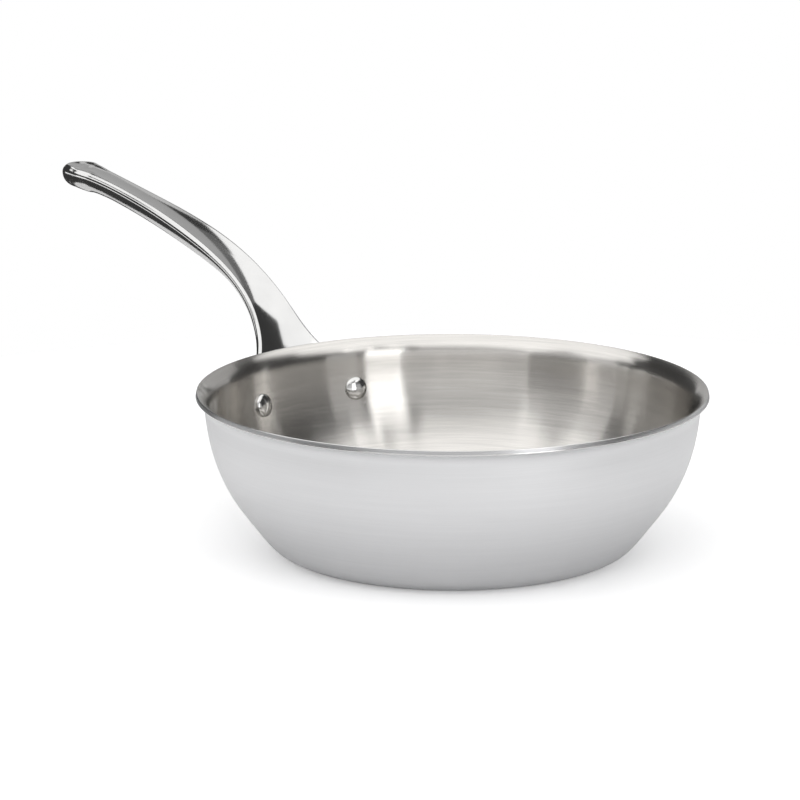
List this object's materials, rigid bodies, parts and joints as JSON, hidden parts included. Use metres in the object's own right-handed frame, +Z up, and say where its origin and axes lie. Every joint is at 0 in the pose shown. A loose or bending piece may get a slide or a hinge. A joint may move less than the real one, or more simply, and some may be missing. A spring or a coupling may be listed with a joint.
{
  "type": "saucier pan",
  "caption": "Round-sided clad steel saucier pan with a flared pouring lip and a long curved cast handle riveted to the wall by a wide foot.",
  "frame": {"origin": "centre of the flat underside of the bowl, on the surface that the pan stands on", "axes": "+Z up; the handle runs from the wall along -X; the pan is symmetric about the XZ plane"},
  "size_m": [0.4216, 0.24, 0.1414],
  "materials": {
    "inner_steel": "satin",
    "core_aluminium": "satin",
    "outer_steel": "satin",
    "cast_steel": "polished",
    "rivet_steel": "polished"
  },
  "bodies": {
    "root": {"inner_ply": "inner_steel", "core_ply": "core_aluminium", "outer_ply": "outer_steel", "handle": "cast_steel", "rivet_left": "rivet_steel", "rivet_right": "rivet_steel"}
  },
  "joints": []
}
